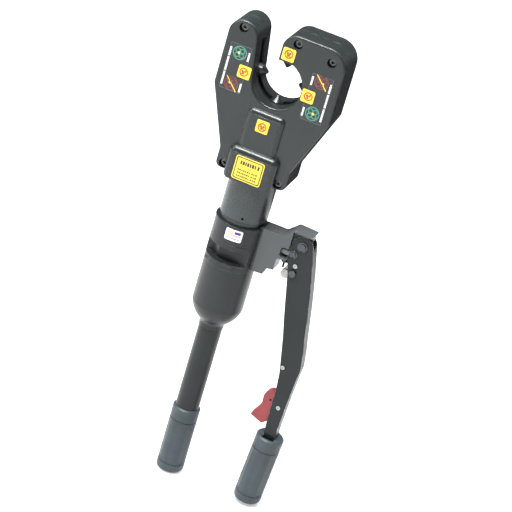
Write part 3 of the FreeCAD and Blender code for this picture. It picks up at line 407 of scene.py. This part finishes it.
def dashes(start, end, width, letter, gap):
    """Row of small blocks that stands in for a line of print."""
    start, end = Vector(start), Vector(end)
    run = (end - start).length
    step = (end - start).normalized()
    shapes, at, turn = [], 0.0, 0
    while at + letter < run:
        length = letter * (0.75, 1.0, 0.6, 0.9)[turn % 4]
        shapes.append((bar(tuple(start + step * at), tuple(start + step * (at + length)), width), None))
        at += length + gap * (2.6 if turn % 7 == 6 else 1.0)
        turn += 1
    return shapes


# ---- the tool's labels ----
def middle_of(low, high):
    return (low.x + high.x) / 2, (low.z + high.z) / 2


def opening_centre():
    low, high = frame["record"]["physics"]["openings"][0]["box_m"]
    return Vector(((low[0] + high[0]) / 2, (low[2] + high[2]) / 2))


def position_label(number, low, high, inks):
    """Square warning pictogram: a struck-out ring whose dot points to the indentor."""
    cx, cz = middle_of(low, high)
    size = high.x - low.x
    front = low.y + PRINT_BED
    to_jaw = opening_centre() - Vector((cx, cz))
    to_jaw.normalize()
    slash = Vector((to_jaw.x - to_jaw.y, to_jaw.x + to_jaw.y)).normalized() * (0.26 * size)
    centre = Vector((cx, cz)) - to_jaw * (0.04 * size)
    name = f"position_label_{number}"
    edge = soft_box((cx, cz), size * 1.09, size * 1.09, 0.14 * size)
    printed(f"{name}_edge", [(edge, None)], high.y + 0.5 * INK, 1.5, inks["dark_ink"], HEAD_BODY)
    marks = [(circle(centre + Vector((cos(a), sin(a))) * (0.12 * size), 0.1 * size, 8), None)
             for a in (0.6, 2.7, 4.4)]
    printed(f"{name}_marks", marks, front, 1, inks["leaf_ink"], HEAD_BODY)
    strokes = [ring_shape(centre, 0.35 * size, 0.25 * size),
               (bar(tuple(centre - slash), tuple(centre + slash), 0.08 * size), None)]
    printed(f"{name}_ring", strokes, front, 2, inks["orange_ink"], HEAD_BODY)
    dot = centre + to_jaw * (0.42 * size)
    printed(f"{name}_dot", [(circle(dot, 0.045 * size, 10), None)], front, 2, inks["red_ink"], HEAD_BODY)


def cable_badge(name, centre, ink, front, inks, dot, struck):
    """Round cross-section badge: a ring of strands with a bright dot, struck out if it's wrong."""
    outer, strand, spread, stroke = 9.0 * MM, 3.2 * MM, 4.3 * MM, 0.9 * MM
    shapes = [ring_shape(centre, outer, outer - stroke)]
    for i in range(4):
        a = radians(45 + 90 * i)
        place = (centre[0] + spread * cos(a), centre[1] + spread * sin(a))
        shapes.append(ring_shape(place, strand, strand - stroke))
    printed(f"{name}_rings", shapes, front, 1, inks[ink], HEAD_BODY)
    gold = [(circle(dot, 1.5 * MM, 12), None)]
    if struck:
        reach = Vector((-8.0, 8.4)) * MM
        middle = Vector(centre)
        gold.append((bar(tuple(middle + reach), tuple(middle - reach), stroke), None))
    printed(f"{name}_gold", gold, front, 2, inks["gold_ink"], HEAD_BODY)


def arm_label(side_name, low, high, inks):
    """Panel beside the opening: a right and a wrong cable badge between columns of print."""
    cx, cz = middle_of(low, high)
    front = low.y + PRINT_BED
    left_side = cx < 0
    name = f"arm_label_{side_name}"
    good_z, bad_z = (20.0, -21.5) if left_side else (-19.7, 22.1)
    good, bad = (cx, cz + good_z * MM), (cx, cz + bad_z * MM)
    lean = -2.2 * MM if left_side else 2.0 * MM
    cable_badge(f"{name}_good", good, "green_ink", front, inks, (cx + lean / 2, good[1]), False)
    cable_badge(f"{name}_bad", bad, "wine_ink", front, inks, (cx + lean, bad[1] - lean / 2), True)
    outward = -1 if left_side else 1
    long_x, short_x = cx + outward * 12.4 * MM, cx - outward * 12.2 * MM
    print_shapes = dashes((long_x, cz - 26 * MM), (long_x, cz + 27 * MM), 2.4 * MM, 2.3 * MM, 0.7 * MM)
    for middle_z in (good[1], bad[1]):
        print_shapes += dashes((short_x, middle_z - 7 * MM), (short_x, middle_z + 7 * MM), 2.3 * MM,
                               2.2 * MM, 0.6 * MM)
    printed(f"{name}_print", print_shapes, front, 1, inks["white_ink"], HEAD_BODY)
    width, height = high.x - low.x, high.z - low.z
    border = (soft_box((cx, cz), width, height, 1.5 * MM),
              soft_box((cx, cz), width - 0.8 * MM, height - 0.8 * MM, 1.2 * MM))
    printed(f"{name}_border", [border], front, 1, inks["line_ink"], HEAD_BODY)


def caution_label(low, high, inks):
    """Yellow panel with a dark frame, a bold heading line and three lines of small print."""
    cx, cz = middle_of(low, high)
    front = low.y + PRINT_BED
    width, height = high.x - low.x, high.z - low.z
    inset = 1.3 * MM
    line = 1.3 * MM
    frame_line = (soft_box((cx, cz), width - 2 * inset, height - 2 * inset, 2.6 * MM),
                  soft_box((cx, cz), width - 2 * (inset + line), height - 2 * (inset + line), 2.0 * MM))
    heading_z, rule_z = cz + 0.24 * height, cz + 0.06 * height
    reach = width / 2 - 7 * MM
    heading = dashes((cx - reach, heading_z), (cx + reach + 2 * MM, heading_z), 5.0 * MM, 2.9 * MM, 0.8 * MM)
    printed("caution_frame", [frame_line], front, 1, inks["dark_ink"], HEAD_BODY)
    printed("caution_heading", heading, front, 1, inks["dark_ink"], HEAD_BODY)
    edge = width / 2 - inset - line
    small = [(bar((cx - edge, rule_z), (cx + edge, rule_z), 0.45 * MM), None)]
    for row in range(3):
        z = rule_z - (4.0 + 4.2 * row) * MM
        small += dashes((cx - edge + 3 * MM, z), (cx + edge - 2.5 * MM, z), 2.3 * MM, 2.3 * MM, 0.7 * MM)
    printed("caution_print", small, front, 1, inks["olive_ink"], HEAD_BODY)


def collar_label(low, high, inks):
    """White sticker round the collar: a pale block, a blue block and a row of blue print."""
    wrap = round_collar(-low.y - LABEL_PLATE)
    cx, cz = middle_of(low, high)
    width, height = 0.92 * (high.x - low.x), 0.94 * (high.z - low.z)
    left, right = cx - width / 2, cx + width / 2
    top, foot, split = cz + height / 2 - 2.0 * MM, cz - 2.2 * MM, left + 11.3 * MM
    shelf = foot + 3.6 * MM
    sticker = printed("collar_sticker", [(soft_box((cx, cz), width, height, 1.6 * MM), None)], 0.4 * INK, 2.4,
                      inks["paper"], PUMP_BODY, wrap)
    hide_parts("collar_label")
    face = -1.8 * INK
    pale = [(left + 2.4 * MM, foot), (right - 2.4 * MM, foot), (right - 2.4 * MM, shelf), (split, shelf),
            (split, top), (left + 2.4 * MM, top)]
    block_z = (top + shelf) / 2 + 0.3 * MM
    block = bar((split + 0.6 * MM, block_z), (right - 2.4 * MM, block_z), top - shelf - 0.6 * MM)
    row = foot - 2.3 * MM
    words = dashes((left + 1.8 * MM, row), (right - 1.8 * MM, row), 1.7 * MM, 1.9 * MM, 0.6 * MM)
    printed("collar_label_pale", [(pale, None)], face, 1, inks["pink_ink"], PUMP_BODY, wrap)
    printed("collar_label_block", [(block, None)], face, 1, inks["blue_ink"], PUMP_BODY, wrap)
    printed("collar_label_print", words, face, 1, inks["blue_ink"], PUMP_BODY, wrap)


def print_labels(inks):
    squares = sorted(solid_boxes(nodes["position_labels"]), key=lambda box: (box[0].z, box[0].x))
    for number, (low, high) in enumerate(squares):
        position_label(number, low, high, inks)
    panels = sorted(solid_boxes(nodes["arm_labels"]), key=lambda box: box[0].x)
    for side_name, (low, high) in zip(("left", "right"), panels):
        arm_label(side_name, low, high, inks)
    caution_label(*[Vector(c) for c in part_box("caution_label")], inks)
    collar_label(*[Vector(c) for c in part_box("collar_label")], inks)


# ---- stage ----
def add_floor():
    """Pale floor that glows more far from the tool, so that it meets the white surroundings."""
    bpy.ops.mesh.primitive_plane_add(size=FLOOR_SIZE, location=(0, 0, cad_box[0][2] - FLOOR_DROP))
    floor = bpy.context.object
    floor.name = "floor"
    material, tree_nodes, links = new_material("floor_paper")
    bsdf = tree_nodes["Principled BSDF"]
    bsdf.inputs["Base Color"].default_value = (0.55, 0.55, 0.55, 1)
    bsdf.inputs["Emission Color"].default_value = (1, 1, 1, 1)
    away = add(tree_nodes, "ShaderNodeVectorMath", operation="LENGTH")
    links.new(add(tree_nodes, "ShaderNodeTexCoord").outputs["Object"], away.inputs[0])
    glow = ramp(tree_nodes, links, away.outputs["Value"], *GLOW_REACH, FLOOR_GLOW, WORLD_SEEN)
    links.new(glow, bsdf.inputs["Emission Strength"])
    bsdf.inputs["Roughness"].default_value = 0.9
    bsdf.inputs["Specular IOR Level"].default_value = 0.1
    floor.data.materials.append(material)


def add_black_card():
    """A dark card behind the head, seen only in reflections, that keeps its side faces dark."""
    head_low, head_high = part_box("front_cover")
    left, right = head_low.x - 0.12, head_high.x + 0.6
    foot, top = head_low.z - 0.15, head_high.z + 0.45
    y = head_high.y + CARD_GAP
    data = bpy.data.meshes.new("black_card")
    data.from_pydata([(left, y, foot), (right, y, foot), (right, y, top), (left, y, top)], [], [(0, 1, 2, 3)])
    card = bpy.data.objects.new("black_card", data)
    bpy.context.scene.collection.objects.link(card)
    data.materials.append(surface("card_felt", (0.01, 0.01, 0.01), 0.9))
    card.visible_camera = False
    card.visible_diffuse = False
    card.visible_shadow = False


def add_light(name, place, target, size, energy):
    data = bpy.data.lights.new(name, "AREA")
    data.shape = "RECTANGLE"
    data.size, data.size_y = size
    data.energy = energy
    light = bpy.data.objects.new(name, data)
    bpy.context.scene.collection.objects.link(light)
    light.location = place
    light.rotation_euler = (Vector(target) - Vector(place)).to_track_quat("-Z", "Y").to_euler()


def add_lights():
    middle = (0.0, 0.0, 0.35)
    add_light("left_box", (-1.75, -1.3, 1.6), middle, (0.4, 1.6), 33)
    add_light("top_box", (-0.3, 1.3, 3.0), (0.0, 1.0, 0.0), (4.5, 4.0), 270)
    add_light("edge_strip", (-0.5, -1.1, 2.7), middle, (1.5, 0.16), 135)
    add_light("rim_box", (1.6, 2.0, 1.6), middle, (0.4, 1.4), 14)
    bpy.context.scene.view_settings.view_transform = "Standard"


def add_world():
    """White surroundings: bright where the camera sees them, dimmer as a light."""
    world = bpy.data.worlds.new("soft_white")
    world.use_nodes = True
    tree_nodes, links = world.node_tree.nodes, world.node_tree.links
    seen = add(tree_nodes, "ShaderNodeLightPath").outputs["Is Camera Ray"]
    background = tree_nodes["Background"]
    background.inputs["Color"].default_value = (1, 1, 1, 1)
    links.new(ramp(tree_nodes, links, seen, 0.0, 1.0, WORLD_LIGHT, WORLD_SEEN), background.inputs["Strength"])
    bpy.context.scene.world = world


def add_camera():
    azimuth, elevation = radians(CAMERA_AZIMUTH), radians(CAMERA_ELEVATION)
    toward = Vector((sin(azimuth) * cos(elevation), -cos(azimuth) * cos(elevation), sin(elevation)))
    right = Vector((cos(azimuth), sin(azimuth), 0))
    up = toward.cross(right)
    roll = radians(CAMERA_ROLL)
    turned_right = right * cos(roll) + up * sin(roll)
    turned_up = up * cos(roll) - right * sin(roll)
    data = bpy.data.cameras.new("camera")
    data.lens = CAMERA_LENS
    data.sensor_width = CAMERA_SENSOR
    camera = bpy.data.objects.new("camera", data)
    bpy.context.scene.collection.objects.link(camera)
    rotation = Matrix((turned_right, turned_up, toward)).transposed().to_4x4()
    camera.matrix_world = Matrix.Translation(CAMERA_TARGET + toward * CAMERA_DISTANCE) @ rotation
    bpy.context.scene.camera = camera


dress_cad_nodes(make_materials())
shorten_return_spring()
print_labels(make_inks())
add_floor()
add_black_card()
add_lights()
add_world()
add_camera()
